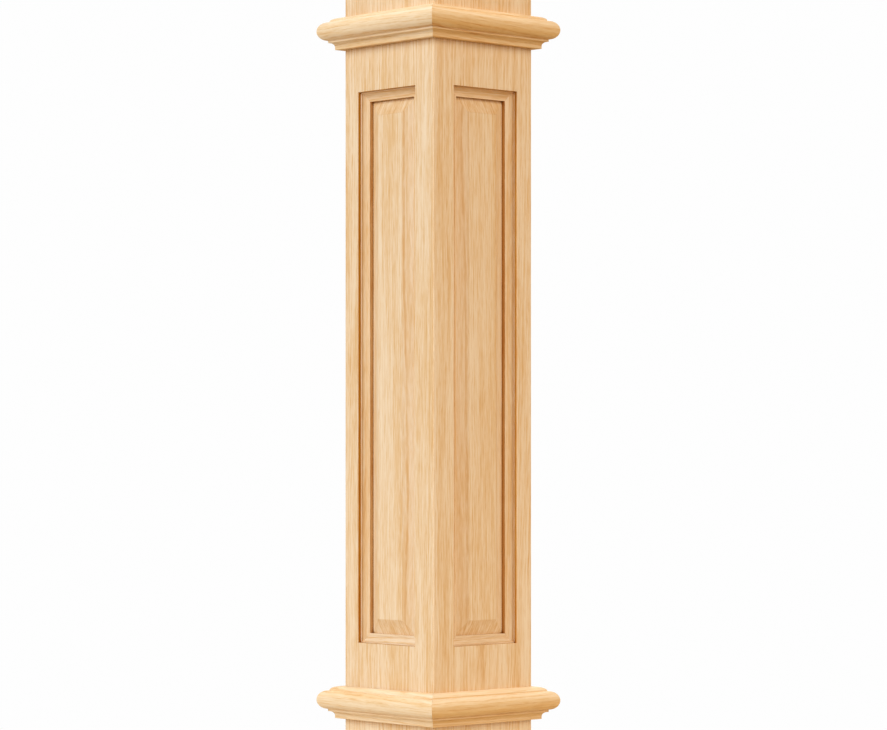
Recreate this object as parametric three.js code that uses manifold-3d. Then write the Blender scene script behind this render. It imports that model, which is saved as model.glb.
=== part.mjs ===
// Square box newel post in pale oak, with a raised panel in each face, two band
// mouldings round it and a low pyramid cap.
// Millimetres, +Z up. The origin is the middle of the underside.

import * as THREE from "three";
import { mergeVertices } from "three/addons/utils/BufferGeometryUtils.js";
import Module from "manifold-3d";

// Post
const postWidth = 158.75;
const postHalf = postWidth / 2;
const boardThickness = 19.05;
const jointGap = 0.3;

// Heights from the floor up
const lowerBandBottom = 331.1;
const bandHeight = 39.1;
const railHeight = 53.2;
const openingHeight = 660.9;
const capUnderside = 1346;
const capMouldingHeight = 24;
const boardHeight = capUnderside - jointGap;
const openingBottom = lowerBandBottom + bandHeight + railHeight;
const openingMiddle = openingBottom + openingHeight / 2;
const upperBandBottom = openingBottom + openingHeight + railHeight;

// The plain base and the plain neck, to whole millimetres just clear of the mouldings
const baseTop = Math.floor(lowerBandBottom - jointGap);
const neckBottom = Math.ceil(upperBandBottom + bandHeight + jointGap);
const neckTop = Math.floor(capUnderside - capMouldingHeight - jointGap);

// Each opening is a little nearer one side of its face. The wide stiles meet
// at two opposite corners of the post and the narrow stiles at the other two.
const wideStile = 32.5;
const narrowStile = 23.9;
const openingWidth = postWidth - wideStile - narrowStile;
const openingShift = (wideStile - narrowStile) / 2;

// Depths below the face of the boards, and widths, of what fills an opening
const fieldDepth = 5.4;
const fieldStep = 0.8;
const bevelWidth = 16.8;
const tongueDepth = 14.2;
const panelMouldingWidth = 11.6;

// Cap
const capHalfWidth = 112;
const capEdgeThickness = 22;
const capRise = 29;

// Flats that make up a quarter, and a half, of a rounded outline
const coveFlats = 6;
const halfRoundFlats = 14;
const capEdgeFlats = 10;

const oakColours = {
  board: "#e8c99e",
  panel: "#e9c89a",
  panelMoulding: "#e0bb86",
  band: "#eccfa4",
  cap: "#eacca0",
};

const faceNames = ["front", "right", "back", "left"];
const quarterTurn = Math.PI / 2;
const axisX = new THREE.Vector3(1, 0, 0);
const axisY = new THREE.Vector3(0, 1, 0);
const axisZ = new THREE.Vector3(0, 0, 1);
const outward = new THREE.Vector3(0, -1, 0);

const wasm = await Module();
wasm.setup();

function toSolid(geometry) {
  const bare = geometry.clone();
  bare.deleteAttribute("normal");
  bare.deleteAttribute("uv");
  const merged = mergeVertices(bare);
  return new wasm.Manifold(new wasm.Mesh({
    numProp: 3,
    vertProperties: merged.attributes.position.array,
    triVerts: Uint32Array.from(merged.index.array),
  }));
}

function toGeometry(solid) {
  const mesh = solid.getMesh();
  const geometry = new THREE.BufferGeometry();
  geometry.setAttribute("position", new THREE.BufferAttribute(mesh.vertProperties, 3));
  geometry.setIndex(new THREE.BufferAttribute(mesh.triVerts, 1));
  geometry.computeVertexNormals();
  return geometry;
}

// Points on an ellipse, from one angle to another in degrees.
function arc(centreX, centreY, radiusX, radiusY, fromDegrees, toDegrees, flats) {
  const points = [];
  for (let i = 0; i <= flats; i += 1) {
    const degrees = fromDegrees + ((toDegrees - fromDegrees) * i) / flats;
    const angle = THREE.MathUtils.degToRad(degrees);
    points.push(new THREE.Vector2(
      centreX + radiusX * Math.cos(angle),
      centreY + radiusY * Math.sin(angle),
    ));
  }
  return points;
}

const point = (x, y) => new THREE.Vector2(x, y);

// A profile drawn across one direction and up another, extruded along the third.
function prism(profile, across, up, length) {
  const along = new THREE.Vector3().crossVectors(across, up);
  const shape = new THREE.Shape(profile);
  const geometry = new THREE.ExtrudeGeometry(shape, { depth: length, bevelEnabled: false });
  geometry.translate(0, 0, -length / 2);
  geometry.applyMatrix4(new THREE.Matrix4().makeBasis(across, up, along));
  return geometry;
}

// A length of moulding with mitred ends. At each end it is longer by slope
// times the distance across the profile: 1 round an outside corner, -1 inside.
// It is extruded from -1 to 1, and then its ends are drawn out to the mitres.
function mitredLength(profile, across, up, halfLength, slope) {
  const along = new THREE.Vector3().crossVectors(across, up);
  const shape = new THREE.Shape(profile);
  const geometry = new THREE.ExtrudeGeometry(shape, { depth: 2, bevelEnabled: false });
  const position = geometry.attributes.position;
  const saw = (jointGap / 2) * Math.SQRT2;
  for (let i = 0; i < position.count; i += 1) {
    const end = position.getZ(i) - 1;
    position.setZ(i, end * (halfLength + slope * position.getX(i) - saw));
  }
  geometry.applyMatrix4(new THREE.Matrix4().makeBasis(across, up, along));
  geometry.computeVertexNormals();
  return geometry;
}

// A solid with one profile seen from the front and another seen from the side.
function crossedProfiles(frontProfile, sideProfile, frontAcross, sideAcross, up, reach) {
  const seenFromFront = toSolid(prism(frontProfile, frontAcross, up, reach));
  const seenFromSide = toSolid(prism(sideProfile, sideAcross, up, reach));
  return toGeometry(seenFromFront.intersect(seenFromSide));
}

function piece(name, geometry, colour) {
  const material = new THREE.MeshStandardMaterial({ color: colour, roughness: 0.6, metalness: 0 });
  const mesh = new THREE.Mesh(geometry, material);
  mesh.name = name;
  return mesh;
}

// One side of the box: mitred along both edges, with a tall opening through it.
// It is joined from four lengths, so that base and neck have faces of their own
// for whatever is fastened there.
function faceBoard(shift) {
  const saw = (jointGap / 2) * Math.SQRT2;
  const outerHalf = postHalf - saw;
  const innerHalf = outerHalf - boardThickness;
  const plan = [
    point(-outerHalf, -postHalf),
    point(outerHalf, -postHalf),
    point(innerHalf, -postHalf + boardThickness),
    point(-innerHalf, -postHalf + boardThickness),
  ];
  const lengthBetween = (bottom, top) => {
    const length = prism(plan, axisX, axisY, top - bottom);
    length.translate(0, 0, (bottom + top) / 2);
    return toSolid(length);
  };
  const board = lengthBetween(0, baseTop)
    .add(lengthBetween(baseTop, neckBottom))
    .add(lengthBetween(neckBottom, neckTop))
    .add(lengthBetween(neckTop, boardHeight));
  const cutDepth = boardThickness * 4;
  const opening = new THREE.BoxGeometry(openingWidth, cutDepth, openingHeight);
  opening.translate(shift, -postHalf, openingMiddle);
  return toGeometry(board.subtract(toSolid(opening)));
}

// One way across the raised panel: a thin tongue under the moulding, a broad
// bevel, a small step and the flat field.
function panelProfile(openingSpan) {
  const edge = openingSpan / 2 - jointGap;
  const bevelStart = openingSpan / 2 - panelMouldingWidth;
  const fieldEdge = bevelStart - bevelWidth;
  const rightHalf = [
    point(edge, -boardThickness),
    point(edge, -tongueDepth),
    point(bevelStart, -tongueDepth),
    point(fieldEdge, -fieldDepth - fieldStep),
    point(fieldEdge, -fieldDepth),
  ];
  const leftHalf = rightHalf.map((p) => point(-p.x, p.y)).reverse();
  return [...rightHalf, ...leftHalf];
}

function raisedPanel() {
  const acrossPanel = panelProfile(openingWidth);
  const upPanel = panelProfile(openingHeight);
  const reach = openingHeight + postWidth;
  return crossedProfiles(acrossPanel, upPanel, axisX, axisZ, outward, reach);
}

// Across the panel moulding, from the wall of the opening to the panel: a
// fillet, a cove and a narrow lip. Heights are measured from the board's face.
function panelMouldingProfile() {
  const filletDepth = 4.2;
  const filletWidth = 1.4;
  const coveTop = 4.7;
  const coveBottom = 9.2;
  const lipDepth = 8.7;
  const lipWidth = 2.8;
  const back = tongueDepth - jointGap;
  const coveEnd = panelMouldingWidth - lipWidth;
  const coveReach = coveEnd - filletWidth;
  const coveDrop = coveBottom - coveTop;
  const cove = arc(coveEnd, -coveTop, coveReach, coveDrop, 180, 270, coveFlats);
  return [
    point(jointGap, -back),
    point(jointGap, -filletDepth),
    point(filletWidth, -filletDepth),
    ...cove,
    point(coveEnd, -lipDepth),
    point(panelMouldingWidth, -lipDepth),
    point(panelMouldingWidth, -back),
  ].reverse();
}

// The band moulding's profile, out from the face and up from its underside: a
// cove under a fillet, a bold half-round, and a small quarter-round above it.
function bandProfile() {
  const lipReach = 8.8;
  const lipHeight = 3.2;
  const coveReach = 14;
  const coveHeight = 5.2;
  const filletReach = 14.8;
  const filletHeight = 2.8;
  const halfRoundBase = 14.9;
  const halfRoundReach = 9.8;
  const halfRoundRadius = 11.1;
  const quarterRoundReach = 13.5;
  const quarterRoundHeight = 5;
  const coveTop = lipHeight + coveHeight;
  const halfRoundBottom = coveTop + filletHeight;
  const halfRoundMiddle = halfRoundBottom + halfRoundRadius;
  const halfRoundTop = halfRoundMiddle + halfRoundRadius;
  const cove = arc(coveReach, lipHeight, coveReach - lipReach, coveHeight, 180, 90, coveFlats);
  const halfRound = arc(
    halfRoundBase, halfRoundMiddle, halfRoundReach, halfRoundRadius, -90, 90, halfRoundFlats,
  );
  const quarterRound = arc(
    jointGap, bandHeight - quarterRoundHeight,
    quarterRoundReach - jointGap, quarterRoundHeight, 0, 90, coveFlats,
  );
  return [
    point(jointGap, 0),
    point(lipReach, 0),
    ...cove,
    point(filletReach, coveTop),
    point(filletReach, halfRoundBottom),
    ...halfRound,
    point(quarterRoundReach, halfRoundTop),
    ...quarterRound,
  ];
}

// Under the cap: a plain cove between two fillets, down from the cap's underside.
function capMouldingProfile() {
  const height = capMouldingHeight;
  const topReach = 20;
  const topFillet = 4;
  const bottomReach = 6;
  const bottomFillet = 4;
  const coveHeight = height - topFillet - bottomFillet;
  const coveWidth = topReach - bottomReach;
  const cove = arc(topReach, -height + bottomFillet, coveWidth, coveHeight, 180, 90, coveFlats);
  return [
    point(jointGap, -height),
    point(bottomReach, -height),
    ...cove,
    point(topReach, -jointGap),
    point(jointGap, -jointGap),
  ];
}

// One way across the cap: a flat underside, a rounded edge and a low slope.
function capProfile() {
  const radius = capEdgeThickness / 2;
  const edge = arc(capHalfWidth - radius, radius, radius, radius, -90, 90, capEdgeFlats);
  const otherEdge = edge.map((p) => point(-p.x, p.y)).reverse();
  return [...edge, point(0, capEdgeThickness + capRise), ...otherEdge];
}

function cap() {
  const profile = capProfile();
  const reach = capHalfWidth * 3;
  const geometry = crossedProfiles(profile, profile, axisX, axisY, axisZ, reach);
  const mesh = piece("cap", geometry, oakColours.cap);
  mesh.position.z = capUnderside;
  return mesh;
}

// The four mitred lengths round one opening. They are drawn along its lower
// edge and turned about the middle of the opening.
function panelMouldings(faceName) {
  const group = new THREE.Group();
  const profile = panelMouldingProfile();
  const sides = [
    { side: "lower", turn: 0, halfLength: openingWidth / 2, distance: openingHeight / 2 },
    { side: "right", turn: -quarterTurn, halfLength: openingHeight / 2, distance: openingWidth / 2 },
    { side: "upper", turn: 2 * quarterTurn, halfLength: openingWidth / 2, distance: openingHeight / 2 },
    { side: "left", turn: quarterTurn, halfLength: openingHeight / 2, distance: openingWidth / 2 },
  ];
  for (const { side, turn, halfLength, distance } of sides) {
    const geometry = mitredLength(profile, axisZ, outward, halfLength, -1);
    const mesh = piece(`panel_moulding_${faceName}_${side}`, geometry, oakColours.panelMoulding);
    mesh.rotation.y = turn;
    mesh.position.set(-Math.sin(turn) * distance, 0, -Math.cos(turn) * distance);
    group.add(mesh);
  }
  return group;
}

// A moulding length that runs across one face and round its two corners.
function bandLength(name, profile, height, colour) {
  const mesh = piece(name, mitredLength(profile, outward, axisZ, postHalf, 1), colour);
  mesh.position.set(0, -postHalf, height);
  return mesh;
}

// Everything on one side of the post, drawn as the front.
function face(name, shift) {
  const group = new THREE.Group();
  group.add(piece(`face_board_${name}`, faceBoard(shift), oakColours.board));

  const opening = new THREE.Group();
  opening.position.set(shift, -postHalf, openingMiddle);
  opening.add(piece(`raised_panel_${name}`, raisedPanel(), oakColours.panel));
  opening.add(panelMouldings(name));
  group.add(opening);

  const band = bandProfile();
  group.add(bandLength(`lower_band_${name}`, band, lowerBandBottom, oakColours.band));
  group.add(bandLength(`upper_band_${name}`, band, upperBandBottom, oakColours.band));
  group.add(bandLength(`cap_moulding_${name}`, capMouldingProfile(), capUnderside, oakColours.band));
  return group;
}

const newelPost = new THREE.Group();
faceNames.forEach((name, index) => {
  const shift = index % 2 === 0 ? -openingShift : openingShift;
  const side = face(name, shift);
  side.rotation.z = index * quarterTurn;
  newelPost.add(side);
});
newelPost.add(cap());

export default newelPost;
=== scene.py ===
import math
import random

import bmesh
import bpy
from mathutils import Matrix, Vector

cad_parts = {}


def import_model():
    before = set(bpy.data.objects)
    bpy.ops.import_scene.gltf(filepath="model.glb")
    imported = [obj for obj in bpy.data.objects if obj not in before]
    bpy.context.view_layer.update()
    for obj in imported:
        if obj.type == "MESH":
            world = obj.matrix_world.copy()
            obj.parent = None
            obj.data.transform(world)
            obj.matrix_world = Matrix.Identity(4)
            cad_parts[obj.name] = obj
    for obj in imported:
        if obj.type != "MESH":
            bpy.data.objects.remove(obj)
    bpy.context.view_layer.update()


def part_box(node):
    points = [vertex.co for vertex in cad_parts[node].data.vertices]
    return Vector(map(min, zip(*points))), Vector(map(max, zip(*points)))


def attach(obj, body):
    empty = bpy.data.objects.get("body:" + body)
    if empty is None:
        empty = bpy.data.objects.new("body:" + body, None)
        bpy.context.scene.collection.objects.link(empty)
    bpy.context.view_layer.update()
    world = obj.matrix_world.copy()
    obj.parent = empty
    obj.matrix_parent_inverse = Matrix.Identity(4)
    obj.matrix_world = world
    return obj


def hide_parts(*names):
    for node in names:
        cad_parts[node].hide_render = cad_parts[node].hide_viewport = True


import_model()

# Shapes are drawn in millimetres on the front face and turned to the others
MM = 0.001
FACES = ["front", "right", "back", "left"]
QUARTER_TURN = math.pi / 2


def box_in_mm(node):
    low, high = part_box(node)
    return low / MM, high / MM


# The post, from the frame
board_low, board_high = box_in_mm("face_board_front")
post_half = -board_low.y
board_thickness = board_high.y - board_low.y
board_top = board_high.z
lower_band_low, lower_band_high = box_in_mm("lower_band_front")
lower_band_bottom = lower_band_low.z
band_height = lower_band_high.z - lower_band_low.z
upper_band_bottom = box_in_mm("upper_band_front")[0].z
cap_low, cap_high = box_in_mm("cap")
cap_underside = cap_low.z
cap_half = cap_high.x

# The opening in each face, from the panel that fills it with a small gap all round
cad_gap = 0.3
panel_low, panel_high = box_in_mm("raised_panel_front")
opening_width = panel_high.x - panel_low.x + 2 * cad_gap
opening_height = panel_high.z - panel_low.z + 2 * cad_gap
opening_middle = (panel_low.z + panel_high.z) / 2
opening_shift = (panel_low.x + panel_high.x) / 2

# Fits between pieces
joint_gap = 0.05
mitre_gap = joint_gap * math.sqrt(2) / 2

# Soft edges, as sandpaper leaves them. A corner that turns less than sharp_turn is part of a
# curve, and an easing takes up at most eased_share of the edge beside it.
corner_radius = 0.8
arris_radius = 0.7
moulding_arris = 0.35
sharp_turn = math.radians(35)
eased_share = 0.4

# Panel, as depths below the face of the boards
field_depth = 5.4
field_step = 0.8
bevel_width = 16.8
tongue_depth = 14.2
panel_moulding_width = 11.6

# Cap and the moulding under it
cap_moulding_height = 24
cap_edge_thickness = 22
cap_corner_radius = 1.5

# Steps in each curve
ease_steps = 3
corner_steps = 4
band_cove_steps = 14
cove_steps = 16
cap_edge_steps = 24
half_round_steps = 40
cap_slope_steps = 12


def arc(centre_x, centre_y, radius_x, radius_y, from_degrees, to_degrees, steps):
    """Points on an ellipse, from one angle to another."""
    points = []
    for i in range(steps + 1):
        angle = math.radians(from_degrees + (to_degrees - from_degrees) * i / steps)
        points.append((centre_x + radius_x * math.cos(angle), centre_y + radius_y * math.sin(angle)))
    return points


def ease(outline, radius, kept=None):
    """The closed outline with its sharp corners rounded a little. The corner kept stays sharp."""
    eased = []
    for i, corner in enumerate(outline):
        here = Vector(corner)
        before = Vector(outline[i - 1]) - here
        after = Vector(outline[(i + 1) % len(outline)]) - here
        turn = math.pi - before.angle(after)
        if turn < sharp_turn or corner == kept:
            eased.append(corner)
            continue
        longest = eased_share * min(before.length, after.length)
        reach = min(radius * math.tan(turn / 2), longest)
        start = here + before.normalized() * reach
        end = here + after.normalized() * reach
        for k in range(ease_steps + 1):
            t = k / ease_steps
            eased.append(tuple((1 - t) ** 2 * start + 2 * t * (1 - t) * here + t * t * end))
    return eased


def loft(rings):
    """A closed mesh through rings of equally many points, with a flat face on each end."""
    count = len(rings[0])
    points = [point for ring in rings for point in ring]
    last = (len(rings) - 1) * count
    faces = [tuple(range(count)), tuple(range(last, last + count))]
    for start in range(0, last, count):
        for i in range(count):
            j = (i + 1) % count
            faces.append((start + i, start + j, start + count + j, start + count + i))
    return points, faces


def mitred_length(profile, half_length, slope, place):
    """A length of moulding whose ends are cut at 45 degrees. place(along, out, up) gives a point."""
    rings = []
    for end in (-1, 1):
        rings.append([place(end * (half_length + slope * u - mitre_gap), u, v) for u, v in profile])
    return loft(rings)


def face_board(shift):
    """One side of the box: mitred along both edges, softly rounded at the post's corners and
    round its opening."""
    left = shift - opening_width / 2
    right = shift + opening_width / 2
    bottom = opening_middle - opening_height / 2
    top = opening_middle + opening_height / 2
    soft = arris_radius
    face_y = -post_half
    back_y = face_y + board_thickness
    centre = post_half - corner_radius
    mitre_centre = centre - mitre_gap
    corner = arc(mitre_centre, -centre, corner_radius, corner_radius, -45, -90, corner_steps)
    plan = [(-x, y) for x, y in corner]
    plan += [(left - soft, face_y), (right + soft, face_y)]
    plan += list(reversed(corner))
    front_rows = [0, bottom - soft, top + soft, board_top]
    inner = post_half - board_thickness - mitre_gap
    back_plan = [(-inner, back_y), (left, back_y), (right, back_y), (inner, back_y)]
    back_rows = [0, bottom, top, board_top]

    points = []
    faces = []

    def add(point):
        points.append(point)
        return len(points) - 1

    # Front and back are grids of three rows, with the opening in the middle row
    front = [[add((x, y, z)) for x, y in plan] for z in front_rows]
    back = [[add((x, y, z)) for x, y in back_plan] for z in back_rows]
    front_hole = len(corner)
    back_hole = 1
    for grid, hole in ((front, front_hole), (back, back_hole)):
        for row in range(3):
            for i in range(len(grid[0]) - 1):
                if row == 1 and i == hole:
                    continue
                faces.append((grid[row][i], grid[row][i + 1], grid[row + 1][i + 1], grid[row + 1][i]))
    for row in range(3):
        for end in (0, -1):
            faces.append((front[row][end], front[row + 1][end], back[row + 1][end], back[row][end]))
    for row in (0, -1):
        faces.append(tuple(front[row]) + tuple(reversed(back[row])))

    def opening_corners(grid, hole):
        return [grid[1][hole], grid[1][hole + 1], grid[2][hole + 1], grid[2][hole]]

    # The wall of the opening, rounded where it meets the front
    rings = [opening_corners(front, front_hole)]
    for k in range(1, corner_steps + 1):
        angle = QUARTER_TURN * k / corner_steps
        out = soft * (1 - math.sin(angle))
        y = face_y + soft * (1 - math.cos(angle))
        rings.append([
            add((left - out, y, bottom - out)),
            add((right + out, y, bottom - out)),
            add((right + out, y, top + out)),
            add((left - out, y, top + out)),
        ])
    rings.append(opening_corners(back, back_hole))
    for ring, after in zip(rings, rings[1:]):
        for i in range(4):
            j = (i + 1) % 4
            faces.append((ring[i], ring[j], after[j], after[i]))
    return points, faces


def raised_panel(shift):
    """A thin tongue under the moulding, a broad bevel, a small sloped step and the flat field."""
    edge_fit = joint_gap * 2
    bevel_start = panel_moulding_width
    field_edge = bevel_start + bevel_width
    step_bottom = field_depth + field_step
    step_slope = 0.9
    soft = 0.3
    section = [
        (edge_fit, board_thickness),
        (edge_fit, tongue_depth),
        (bevel_start, tongue_depth),
        (field_edge - soft, step_bottom),
        (field_edge, step_bottom - soft / 2),
        (field_edge + step_slope, field_depth + soft / 3),
        (field_edge + step_slope + soft, field_depth),
    ]
    rings = []
    for inset, depth in section:
        x = opening_width / 2 - inset
        z = opening_height / 2 - inset
        y = -post_half + depth
        ring = []
        for side_x, side_z in ((-1, -1), (1, -1), (1, 1), (-1, 1)):
            ring.append((shift + side_x * x, y, opening_middle + side_z * z))
        rings.append(ring)
    return loft(rings)


def panel_moulding_profile():
    """Across the panel moulding, from the wall of the opening to the panel: a fillet, a cove and
    a narrow lip. Heights are measured down from the board's face."""
    fillet_depth = 4.2
    fillet_width = 1.4
    cove_top = 4.7
    cove_bottom = 9.2
    lip_depth = 8.7
    lip_width = 2.8
    wall_fit = joint_gap * 2
    back = tongue_depth - joint_gap
    cove_end = panel_moulding_width - lip_width
    cove_reach = cove_end - fillet_width
    cove_drop = cove_bottom - cove_top
    wall_corner = (wall_fit, -fillet_depth)
    outline = [(wall_fit, -back), wall_corner, (fillet_width, -fillet_depth)]
    outline += arc(cove_end, -cove_top, cove_reach, cove_drop, 180, 270, cove_steps)
    outline += [
        (cove_end, -lip_depth),
        (panel_moulding_width, -lip_depth),
        (panel_moulding_width, -back),
    ]
    return ease(outline, moulding_arris, wall_corner)


def panel_moulding(shift, turn):
    """One of the four lengths round an opening, turned about the opening's middle."""
    lengthwise = abs(math.sin(turn)) > 0.5
    half_length = (opening_height if lengthwise else opening_width) / 2
    distance = (opening_width if lengthwise else opening_height) / 2

    def place(along, inward, out):
        w = inward - distance
        x = along * math.cos(turn) - w * math.sin(turn)
        z = along * math.sin(turn) + w * math.cos(turn)
        return (shift + x, -post_half - out, opening_middle + z)

    return mitred_length(panel_moulding_profile(), half_length, -1, place)


def band_profile():
    """Out from the face and up from the underside: a cove under a fillet, a bold half-round, and
    a small quarter-round above it."""
    lip_reach = 8.8
    lip_height = 3.2
    cove_reach = 14
    cove_height = 5.2
    fillet_reach = 14.8
    fillet_height = 2.8
    round_base = 14.9
    round_reach = 9.8
    round_radius = 11.1
    quarter_reach = 13.5
    quarter_height = 5
    cove_width = cove_reach - lip_reach
    cove_top = lip_height + cove_height
    round_bottom = cove_top + fillet_height
    round_middle = round_bottom + round_radius
    round_top = round_middle + round_radius
    quarter_bottom = band_height - quarter_height
    quarter_width = quarter_reach - cad_gap
    outline = [(joint_gap, 0), (lip_reach, 0)]
    outline += arc(cove_reach, lip_height, cove_width, cove_height, 180, 90, band_cove_steps)
    outline += [(fillet_reach, cove_top), (fillet_reach, round_bottom)]
    outline += arc(round_base, round_middle, round_reach, round_radius, -90, 90, half_round_steps)
    outline += [(quarter_reach, round_top)]
    outline += arc(cad_gap, quarter_bottom, quarter_width, quarter_height, 0, 90, cove_steps)
    outline += [(joint_gap, band_height)]
    return ease(outline, moulding_arris)


def cap_moulding_profile():
    """A plain cove between two fillets, down from the cap's underside."""
    top_reach = 20
    bottom_reach = 6
    fillet = 4
    cove_width = top_reach - bottom_reach
    cove_height = cap_moulding_height - 2 * fillet
    bottom = -cap_moulding_height
    outline = [(joint_gap, bottom), (bottom_reach, bottom)]
    outline += arc(top_reach, bottom + fillet, cove_width, cove_height, 180, 90, cove_steps)
    outline += [(top_reach, -cad_gap), (joint_gap, -cad_gap)]
    return ease(outline, moulding_arris)


def wrapped_length(profile, height):
    """A moulding length that runs across one face and round its two corners."""

    def place(along, out, up):
        return (along, -post_half - out, height + up)

    return mitred_length(profile, post_half, 1, place)


def cap():
    """A flat underside, a rounded edge and a low slope up to the middle."""
    edge = cap_edge_thickness / 2
    flat_rim = 20
    tip_half = 0.5
    rise = cap_high.z - cap_underside - cap_edge_thickness
    section = [(cap_half - edge - flat_rim, 0)]
    section += arc(cap_half - edge, edge, edge, edge, -90, 90, cap_edge_steps)
    start = section[-1][0]
    for k in range(1, cap_slope_steps + 1):
        half = start + (tip_half - start) * k / cap_slope_steps
        section.append((half, cap_edge_thickness + rise * (1 - half / start)))
    rings = []
    for half, up in section:
        radius = min(cap_corner_radius, half / 2)
        centre = half - radius
        ring = []
        for quarter in range(4):
            turn = Matrix.Rotation(quarter * QUARTER_TURN, 3, "Z")
            for x, y in arc(centre, centre, radius, radius, 0, 90, corner_steps):
                ring.append(tuple(turn @ Vector((x, y, cap_underside + up))))
        rings.append(ring)
    return loft(rings)


# How each piece is cut from its log. Wood coordinates are millimetres from the pith: across,
# deep and along the grain. lean and tilt say how far the pith wanders across and deep in a
# millimetre of length.
class Timber:
    def __init__(self, across, deep, along, pith_across, pith_deep, lean, tilt, start):
        self.axes = (Vector(across), Vector(deep), Vector(along))
        self.pith = (pith_across, pith_deep)
        self.slope = (lean, tilt)
        self.start = start

    def at(self, point):
        across, deep, along = [axis.dot(Vector(point)) for axis in self.axes]
        return (
            across - self.pith[0] + self.slope[0] * along,
            deep - self.pith[1] + self.slope[1] * along,
            along + self.start,
        )


X = (1, 0, 0)
Y = (0, 1, 0)
Z = (0, 0, 1)
SEED = 42
LOG_LENGTH = 5000
draw = random.Random(SEED)


def upright_timber(pith_across, behind, tilt):
    """Grain running up the post. behind is the depth of the pith below the face."""
    lean = draw.uniform(-0.012, 0.012)
    start = draw.uniform(0, LOG_LENGTH)
    return Timber(X, Y, Z, pith_across, behind - post_half, lean, tilt, start)


def board_timber():
    """Sawn flat: arched figure up the middle and straight grain on both stiles."""
    pith_across = draw.uniform(-25, 25)
    behind = draw.uniform(45, 75)
    tilt = draw.choice((-0.05, 0.05))
    return upright_timber(pith_across, behind, tilt)


def panel_timber():
    """Sawn nearly on the quarter, so the lines run straight and flare a little on the bevels."""
    side = draw.choice((-1, 1))
    pith_across = side * draw.uniform(110, 170)
    behind = draw.uniform(25, 45)
    tilt = draw.uniform(-0.01, 0.01)
    return upright_timber(pith_across, behind, tilt)


def strip_timber():
    """The upright lengths of moulding."""
    side = draw.choice((-1, 1))
    pith_across = side * draw.uniform(90, 170)
    behind = draw.uniform(20, 90)
    tilt = draw.uniform(-0.01, 0.01)
    return upright_timber(pith_across, behind, tilt)


def level_timber():
    """A moulding with its grain running across the face."""
    pith_above = draw.uniform(30, 60)
    behind = draw.uniform(30, 60)
    lean = draw.uniform(-0.02, 0.02)
    tilt = draw.uniform(-0.02, 0.02)
    start = draw.uniform(0, LOG_LENGTH)
    return Timber(Z, Y, X, pith_above, behind - post_half, lean, tilt, start)


def cap_timber():
    """The cap, sawn flat from a wide board with its pith below it."""
    return Timber(Y, Z, X, pith_across=30, pith_deep=1250, lean=0.01, tilt=0, start=0)


class Graph:
    """Adds and joins the nodes of one material."""

    def __init__(self, material):
        material.use_nodes = True
        self.tree = material.node_tree
        self.shader = self.tree.nodes["Principled BSDF"]

    def link(self, source, target):
        self.tree.links.new(source, target)

    def feed(self, socket, value):
        if isinstance(value, bpy.types.NodeSocket):
            self.link(value, socket)
        else:
            socket.default_value = value

    def attribute(self, name, output):
        node = self.tree.nodes.new("ShaderNodeAttribute")
        node.attribute_name = name
        return node.outputs[output]

    def occlusion(self, reach):
        node = self.tree.nodes.new("ShaderNodeAmbientOcclusion")
        node.samples = OCCLUSION_SAMPLES
        node.inputs["Distance"].default_value = reach
        return node.outputs["AO"]

    def vector_maths(self, operation, a, b=None):
        node = self.tree.nodes.new("ShaderNodeVectorMath")
        node.operation = operation
        self.feed(node.inputs[0], a)
        if b is not None:
            self.feed(node.inputs[1], b)
        return node.outputs["Value" if operation == "LENGTH" else "Vector"]

    def maths(self, operation, a, b=0.0, c=0.0):
        node = self.tree.nodes.new("ShaderNodeMath")
        node.operation = operation
        for socket, value in zip(node.inputs, (a, b, c)):
            self.feed(socket, value)
        return node.outputs["Value"]

    def weigh(self, value, weight, rest):
        """The value times its weight, added to the rest."""
        return self.maths("MULTIPLY_ADD", value, weight, rest)

    def noise(self, vector, detail, roughness):
        """Noise on a vector that is already scaled to one period a unit."""
        node = self.tree.nodes.new("ShaderNodeTexNoise")
        node.inputs["Scale"].default_value = 1.0
        node.inputs["Detail"].default_value = detail
        node.inputs["Roughness"].default_value = roughness
        self.link(vector, node.inputs["Vector"])
        return node

    def noise_line(self, distance, period, detail, roughness):
        """Noise along one distance."""
        node = self.tree.nodes.new("ShaderNodeTexNoise")
        node.noise_dimensions = "1D"
        node.inputs["Scale"].default_value = 1.0 / period
        node.inputs["Detail"].default_value = detail
        node.inputs["Roughness"].default_value = roughness
        self.link(distance, node.inputs["W"])
        return node.outputs["Fac"]

    def spread(self, value, low, high):
        """A smooth step from 0 at low to 1 at high."""
        node = self.tree.nodes.new("ShaderNodeMapRange")
        node.interpolation_type = "SMOOTHSTEP"
        node.inputs["From Min"].default_value = low
        node.inputs["From Max"].default_value = high
        self.feed(node.inputs["Value"], value)
        return node.outputs["Result"]

    def mix(self, factor, a, b, blend="MIX"):
        node = self.tree.nodes.new("ShaderNodeMix")
        node.data_type = "RGBA"
        node.blend_type = blend
        self.feed(node.inputs["Factor"], factor)
        self.feed(node.inputs["A"], a)
        self.feed(node.inputs["B"], b)
        return node.outputs["Result"]

    def tint(self, factor, body, colour):
        """The body's colour, multiplied by another one where the factor is 1."""
        return self.mix(factor, body, self.mix(1.0, body, colour, "MULTIPLY"))


# Noises in the wood: the period in millimetres, or the periods across, deep and along the
# grain, then detail and roughness. The waves bend the grain by up to half their reach.
BROAD_WAVES = ((110, 110, 600), 2.0, 0.5)
BROAD_REACH = 24
FINE_WAVES = ((11, 11, 55), 2.0, 0.5)
FINE_REACH = 3.0
ZONES = (15, 1.0, 0.5)
RINGS = (2.4, 1.0, 0.6)
STREAKS = ((1.6, 5, 24), 2.0, 0.7)
THREADS = ((2.4, 8, 110), 2.0, 0.6)
PATCHES = ((12, 12, 260), 2.0, 0.5)
PORES = ((0.7, 1.2, 12), 1.0, 0.5)

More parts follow.
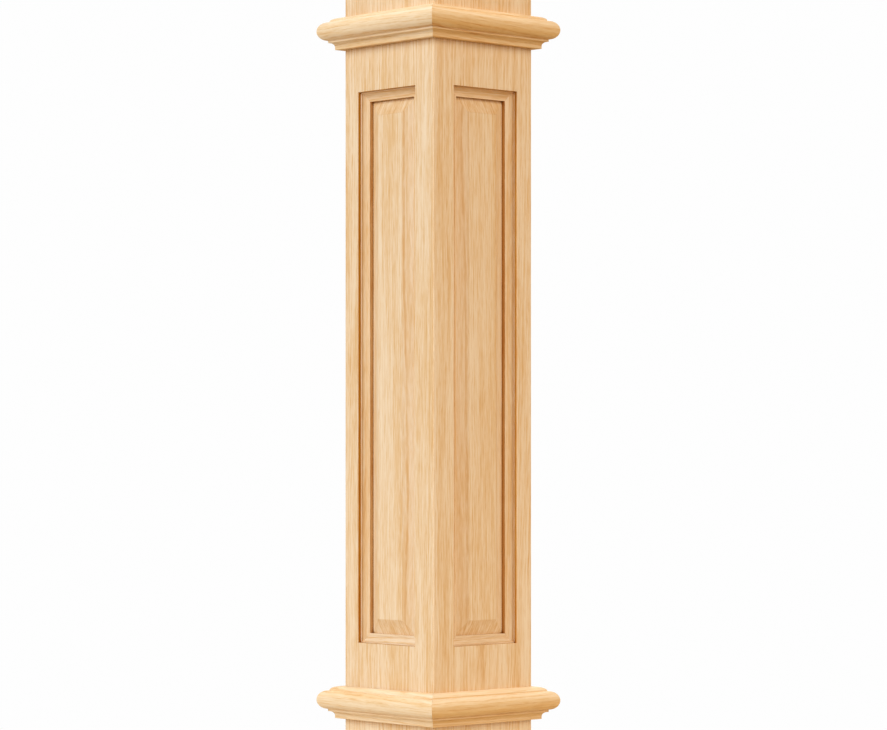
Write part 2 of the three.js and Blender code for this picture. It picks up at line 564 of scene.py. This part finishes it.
# How much each noise darkens the wood, and the range of their sum from pale to tan
RING_WEIGHT = 0.12
ZONE_WEIGHT = 0.14
PATCH_WEIGHT = 0.24
THREAD_WEIGHT = 0.20
STREAK_WEIGHT = 0.30
TONE_RANGE = (0.38, 0.62)

# Dark lines where rings and streaks meet, strongest inside the patches
LINE_STREAK_WEIGHT = 0.9
LINE_RANGE = (1.00, 1.24)
LINE_PATCH_RANGE = (0.44, 0.60)
LINE_OUTSIDE_PATCHES = 0.25
LINE_STRENGTH = 0.45

# Open pores in the early wood of each ring
PORE_RANGE = (0.60, 0.70)
PORE_RING_RANGE = (0.42, 0.6)
PORE_STRENGTH = 0.25

# Unfinished and sanded: rough, with a fine relief
ROUGHNESS = 0.68
RING_ROUGHNESS = -0.10
PORE_ROUGHNESS = 0.12
SPECULAR_LEVEL = 0.15
RING_RELIEF = 0.35
STREAK_RELIEF = 0.25
PORE_RELIEF = -1.0
RELIEF_STRENGTH = 0.25
RELIEF_DEPTH = 0.05

# Painted shade: ambient occlusion in the material darkens the crevices, and makes the tightest
# corners near-black, to stand in for the shade that falls there. A face attribute paints shade on
# chosen faces. Each range gives the share of open air at which a tint starts and at which it is full.
OCCLUSION_SAMPLES = 8
CREVICE_SHADE_REACH = 5
CREVICE_PAINTED_SHADE_RANGE = (0.55, 0.20)
BAND_CREVICE_PAINTED_SHADE_RANGE = (0.70, 0.20)
CREVICE_PAINTED_SHADE_TINT = (0.97, 0.66, 0.25, 1)
# Painted shade: a near-black tint in the tightest corners, where three faces meet
CORNER_PAINTED_SHADE_RANGE = (0.48, 0.26)
CORNER_PAINTED_SHADE_TINT = (0.35, 0.25, 0.15, 1)
# The colour that the painted shade on chosen faces multiplies in
PAINTED_SHADE_TINT = (0.80, 0.50, 0.06, 1)

PALE = (0.83, 0.63, 0.41, 1)
TAN = (0.72, 0.44, 0.195, 1)
BROWN = (0.62, 0.30, 0.09, 1)
# Painted light: the bands get a paler copy of the oak, which stands in for the brighter light on
# them; shade_of paints shade back on some faces and below the crests
BAND_LIT_PALE = (0.87, 0.69, 0.47, 1)
BAND_LIT_TAN = (0.79, 0.54, 0.28, 1)


def streaked(graph, wood, periods, detail, roughness):
    """Noise whose periods are given in millimetres across, deep and along the grain."""
    across, deep, along = periods
    scaled = graph.vector_maths("MULTIPLY", wood, (1 / across, 1 / deep, 1 / along))
    return graph.noise(scaled, detail, roughness)


def wander(graph, wood, waves, reach):
    """Wood coordinates pushed sideways by a smooth noise, to make the grain wavy."""
    push = streaked(graph, wood, *waves).outputs["Color"]
    push = graph.vector_maths("SUBTRACT", push, (0.5, 0.5, 0.5))
    push = graph.vector_maths("MULTIPLY", push, (reach, reach, 0))
    return graph.vector_maths("ADD", wood, push)


def oak(name, light=PALE, dark=TAN, crevice_shade_range=CREVICE_PAINTED_SHADE_RANGE):
    """Unfinished sanded oak. The rings are cylinders round a wandering pith, so each cut through
    them shows its own figure."""
    material = bpy.data.materials.new(name)
    graph = Graph(material)
    wood = graph.attribute("grain", "Vector")
    bent = wander(graph, wood, BROAD_WAVES, BROAD_REACH)
    bent = wander(graph, bent, FINE_WAVES, FINE_REACH)
    distance = graph.vector_maths("LENGTH", graph.vector_maths("MULTIPLY", bent, (1, 1, 0)))

    zones = graph.noise_line(distance, *ZONES)
    rings = graph.noise_line(distance, *RINGS)
    streaks = streaked(graph, bent, *STREAKS).outputs["Fac"]
    threads = streaked(graph, bent, *THREADS).outputs["Fac"]
    patches = streaked(graph, bent, *PATCHES).outputs["Fac"]

    tone = graph.weigh(rings, RING_WEIGHT, graph.maths("MULTIPLY", zones, ZONE_WEIGHT))
    tone = graph.weigh(patches, PATCH_WEIGHT, tone)
    tone = graph.weigh(threads, THREAD_WEIGHT, tone)
    tone = graph.weigh(streaks, STREAK_WEIGHT, tone)
    body = graph.mix(graph.spread(tone, *TONE_RANGE), light, dark)

    lines = graph.spread(graph.weigh(streaks, LINE_STREAK_WEIGHT, rings), *LINE_RANGE)
    inside = graph.spread(patches, *LINE_PATCH_RANGE)
    inside = graph.weigh(inside, 1 - LINE_OUTSIDE_PATCHES, LINE_OUTSIDE_PATCHES)
    lines = graph.maths("MULTIPLY", lines, inside)
    body = graph.mix(graph.maths("MULTIPLY", lines, LINE_STRENGTH), body, BROWN)

    pores = graph.spread(streaked(graph, bent, *PORES).outputs["Fac"], *PORE_RANGE)
    pores = graph.maths("MULTIPLY", pores, graph.spread(rings, *PORE_RING_RANGE))
    body = graph.mix(graph.maths("MULTIPLY", pores, PORE_STRENGTH), body, BROWN)

    # Painted shade: crevices darkened by ambient occlusion
    open_air = graph.occlusion(CREVICE_SHADE_REACH * MM)
    body = graph.tint(graph.spread(open_air, *crevice_shade_range), body, CREVICE_PAINTED_SHADE_TINT)
    # Painted shade: near-black in the tightest corners
    body = graph.tint(graph.spread(open_air, *CORNER_PAINTED_SHADE_RANGE), body, CORNER_PAINTED_SHADE_TINT)
    # Painted shade on the faces that shade_of picks
    body = graph.tint(graph.attribute("painted_shade", "Fac"), body, PAINTED_SHADE_TINT)
    graph.link(body, graph.shader.inputs["Base Color"])

    rough = graph.weigh(rings, RING_ROUGHNESS, ROUGHNESS)
    rough = graph.weigh(pores, PORE_ROUGHNESS, rough)
    graph.link(rough, graph.shader.inputs["Roughness"])
    graph.shader.inputs["Specular IOR Level"].default_value = SPECULAR_LEVEL

    height = graph.weigh(pores, PORE_RELIEF, graph.maths("MULTIPLY", rings, RING_RELIEF))
    height = graph.weigh(streaks, STREAK_RELIEF, height)
    bump = graph.tree.nodes.new("ShaderNodeBump")
    bump.inputs["Strength"].default_value = RELIEF_STRENGTH
    bump.inputs["Distance"].default_value = RELIEF_DEPTH * MM
    graph.link(height, bump.inputs["Height"])
    graph.link(bump.outputs["Normal"], graph.shader.inputs["Normal"])
    return material


finishes = {
    "face_board": oak("oak_board"),
    "raised_panel": oak("oak_panel"),
    "panel_moulding": oak("oak_panel_moulding"),
    # The bands' paler copy of the oak: painted light
    "band_moulding": oak("oak_band_lit", BAND_LIT_PALE, BAND_LIT_TAN, BAND_CREVICE_PAINTED_SHADE_RANGE),
    "cap": oak("oak_cap"),
}


# Painted shade, from 0 to 1: how much darker each face is coloured to stand in for shade on the walls
# of the openings, the coves and lips of the panel mouldings, the panel bevels and the bands. The left
# wall of an opening, the lengths on some sides and the bands of some faces get more, for light that
# falls from one side. A band has one painted shade everywhere and one that is added below its crest.
LEFT_WALL_SHADE = 1.0
WALL_SHADE = 0.85
LIP_SHADES = {"left": 0.4, "upper": 0.4, "right": 0.55, "lower": 0.0}
COVE_SHADES = {"left": 0.22, "upper": 0.16, "right": 0.0, "lower": 0.0}
COVE_SHADE_DEPTH = 4.8
BAND_SHADES = {"front": (0.05, 0.08), "right": (0.22, 0.38), "back": (0.1, 0.2), "left": (0.1, 0.2)}
END_BEVEL_SHADE = 0.17
SIDE_BEVEL_SHADE = 0.07

# How far a surface faces outwards, from 0 in a wall to 1 on a flat, where its shade changes
WALL_LEVEL = 0.3
BEVEL_LEVEL = 0.2
FLAT_LEVEL = 0.98

# How far a band faces upwards where the shade below its crest starts
CREST_LEVEL = 0.5

# Millimetres at the face and the back of a board that get none of its wall's shade
WALL_MARGIN = 0.5


def shade_of(slot, side, centre, normal):
    """The painted shade of one face of a piece: how much darker its colour is made, to stand in for
    shade.
    """
    depth = centre.y + post_half
    level = abs(normal.y)
    in_wall = WALL_MARGIN < depth < board_thickness - WALL_MARGIN
    if slot == "face_board" and level < WALL_LEVEL and in_wall:
        return LEFT_WALL_SHADE if normal.x > WALL_LEVEL else WALL_SHADE
    if slot == "raised_panel" and BEVEL_LEVEL < level < FLAT_LEVEL:
        return END_BEVEL_SHADE if abs(normal.z) > abs(normal.x) else SIDE_BEVEL_SHADE
    if slot == "panel_moulding" and depth > COVE_SHADE_DEPTH:
        return COVE_SHADES[side] if level > WALL_LEVEL else LIP_SHADES[side]
    if slot == "band_moulding":
        everywhere, below = BAND_SHADES[side]
        return everywhere + below * min(max(CREST_LEVEL - normal.z, 0.0), 1.0)
    return 0.0


# Faces that meet at less than this angle are shaded as one surface
SMOOTH_ANGLE = math.radians(32)


def add_piece(node, shape, slot, timber, quarter=0):
    """A mesh that stands for a CAD node, turned from the front to its own face."""
    points, faces = shape
    turn = Matrix.Rotation(quarter * QUARTER_TURN, 3, "Z")
    mesh = bpy.data.meshes.new(node + "_oak")
    mesh.from_pydata([turn @ Vector(point) * MM for point in points], [], faces)
    grain = mesh.attributes.new("grain", "FLOAT_VECTOR", "POINT")
    for item, point in zip(grain.data, points):
        item.vector = timber.at(point)
    shell = bmesh.new()
    shell.from_mesh(mesh)
    bmesh.ops.recalc_face_normals(shell, faces=shell.faces)
    shell.to_mesh(mesh)
    shell.free()
    back_turn = turn.inverted()
    side = node.rsplit("_", 1)[-1]
    # Each face gets its painted shade from shade_of
    painted_shade = mesh.attributes.new("painted_shade", "FLOAT", "FACE")
    for item, polygon in zip(painted_shade.data, mesh.polygons):
        centre = back_turn @ polygon.center / MM
        item.value = shade_of(slot, side, centre, back_turn @ polygon.normal)
    mesh.shade_smooth()
    mesh.set_sharp_from_angle(angle=SMOOTH_ANGLE)
    mesh.materials.append(finishes[slot])
    piece = bpy.data.objects.new(node + "_oak", mesh)
    bpy.context.scene.collection.objects.link(piece)
    shading = piece.modifiers.new("even_shading", "WEIGHTED_NORMAL")
    shading.keep_sharp = True
    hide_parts(node)
    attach(piece, "root")


SIDES = {"lower": 0, "right": QUARTER_TURN, "upper": 2 * QUARTER_TURN, "left": 3 * QUARTER_TURN}
BANDS = {
    "lower_band": (band_profile(), lower_band_bottom),
    "upper_band": (band_profile(), upper_band_bottom),
    "cap_moulding": (cap_moulding_profile(), cap_underside),
}
for quarter, face in enumerate(FACES):
    shift = opening_shift if quarter % 2 == 0 else -opening_shift
    add_piece(f"face_board_{face}", face_board(shift), "face_board", board_timber(), quarter)
    add_piece(f"raised_panel_{face}", raised_panel(shift), "raised_panel", panel_timber(), quarter)
    for side, turn in SIDES.items():
        timber = strip_timber() if side in ("left", "right") else level_timber()
        shape = panel_moulding(shift, turn)
        add_piece(f"panel_moulding_{face}_{side}", shape, "panel_moulding", timber, quarter)
    for name, (profile, height) in BANDS.items():
        shape = wrapped_length(profile, height)
        add_piece(f"{name}_{face}", shape, "band_moulding", level_timber(), quarter)
add_piece("cap", cap(), "cap", cap_timber())


def floor():
    """A plain pale floor."""
    reach = 1.5
    colour = (0.72, 0.65, 0.54, 1)
    roughness = 0.7
    corners = [(-reach, -reach, 0), (reach, -reach, 0), (reach, reach, 0), (-reach, reach, 0)]
    mesh = bpy.data.meshes.new("floor")
    mesh.from_pydata(corners, [], [(0, 1, 2, 3)])
    material = bpy.data.materials.new("pale_floor")
    material.use_nodes = True
    shader = material.node_tree.nodes["Principled BSDF"]
    shader.inputs["Base Color"].default_value = colour
    shader.inputs["Roughness"].default_value = roughness
    mesh.materials.append(material)
    plane = bpy.data.objects.new("floor", mesh)
    bpy.context.scene.collection.objects.link(plane)


def direction(azimuth, elevation):
    """From the post towards a light. Azimuth 0 faces the front."""
    a = math.radians(azimuth)
    e = math.radians(elevation)
    return Vector((math.sin(a) * math.cos(e), -math.cos(a) * math.cos(e), math.sin(e)))


LIGHT_DISTANCE = 8.0
STRIP_SIZE = (0.4, 7.0)
SQUARE_SIZE = (3.0, 3.0)


def softbox(name, azimuth, elevation, size, watts, colour):
    """A soft light that faces the middle of the panels."""
    light = bpy.data.lights.new(name, "AREA")
    light.shape = "RECTANGLE"
    light.size, light.size_y = size
    light.energy = watts
    light.color = colour
    box = bpy.data.objects.new(name, light)
    towards = direction(azimuth, elevation)
    box.location = Vector((0, 0, opening_middle * MM)) + towards * LIGHT_DISTANCE
    box.rotation_euler = towards.to_track_quat("Z", "Y").to_euler()
    bpy.context.scene.collection.objects.link(box)


def world():
    """White to the camera and a dim warm light to the post."""
    seen_colour = (0.99, 0.99, 0.99, 1)
    lit_colour = (1.0, 0.62, 0.25, 1)
    lit_strength = 0.22
    studio = bpy.data.worlds.new("studio")
    bpy.context.scene.world = studio
    studio.use_nodes = True
    tree = studio.node_tree
    tree.nodes.clear()
    seen = tree.nodes.new("ShaderNodeBackground")
    seen.inputs["Color"].default_value = seen_colour
    lit = tree.nodes.new("ShaderNodeBackground")
    lit.inputs["Color"].default_value = lit_colour
    lit.inputs["Strength"].default_value = lit_strength
    path = tree.nodes.new("ShaderNodeLightPath")
    mix = tree.nodes.new("ShaderNodeMixShader")
    output = tree.nodes.new("ShaderNodeOutputWorld")
    tree.links.new(path.outputs["Is Camera Ray"], mix.inputs["Fac"])
    tree.links.new(lit.outputs["Background"], mix.inputs[1])
    tree.links.new(seen.outputs["Background"], mix.inputs[2])
    tree.links.new(mix.outputs["Shader"], output.inputs["Surface"])


def camera():
    """Level, facing the near corner of the post, a little below the middle of the panels."""
    azimuth = math.radians(47.75)
    distance = 3.6793
    sideways = 0.01179
    eye_height = 0.6609
    focal_pixels = 3145.6
    image_width = 887
    image_height = 730
    horizon_row = 444.86
    sensor_width = 36
    near_corner = Vector((post_half, -post_half, 0)) * MM
    back = Vector((math.sin(azimuth), -math.cos(azimuth), 0))
    across = Vector((math.cos(azimuth), math.sin(azimuth), 0))
    data = bpy.data.cameras.new("camera")
    data.sensor_width = sensor_width
    data.lens = focal_pixels / image_width * sensor_width
    data.shift_y = (horizon_row - image_height / 2) / image_width
    view = bpy.data.objects.new("camera", data)
    view.location = near_corner + back * distance + across * sideways + Vector((0, 0, eye_height))
    view.rotation_euler = back.to_track_quat("Z", "Y").to_euler()
    bpy.context.scene.collection.objects.link(view)
    bpy.context.scene.camera = view


floor()
softbox(
    "key_light", azimuth=1.2, elevation=29.5, size=STRIP_SIZE, watts=794, colour=(0.74, 0.855, 1.0)
)
softbox(
    "side_light", azimuth=91.6, elevation=29.5, size=STRIP_SIZE, watts=496, colour=(0.97, 0.97, 0.96)
)
softbox(
    "back_light", azimuth=225, elevation=32, size=SQUARE_SIZE, watts=250, colour=(1.0, 0.96, 0.90)
)
world()
camera()
bpy.context.scene.view_settings.view_transform = "Standard"
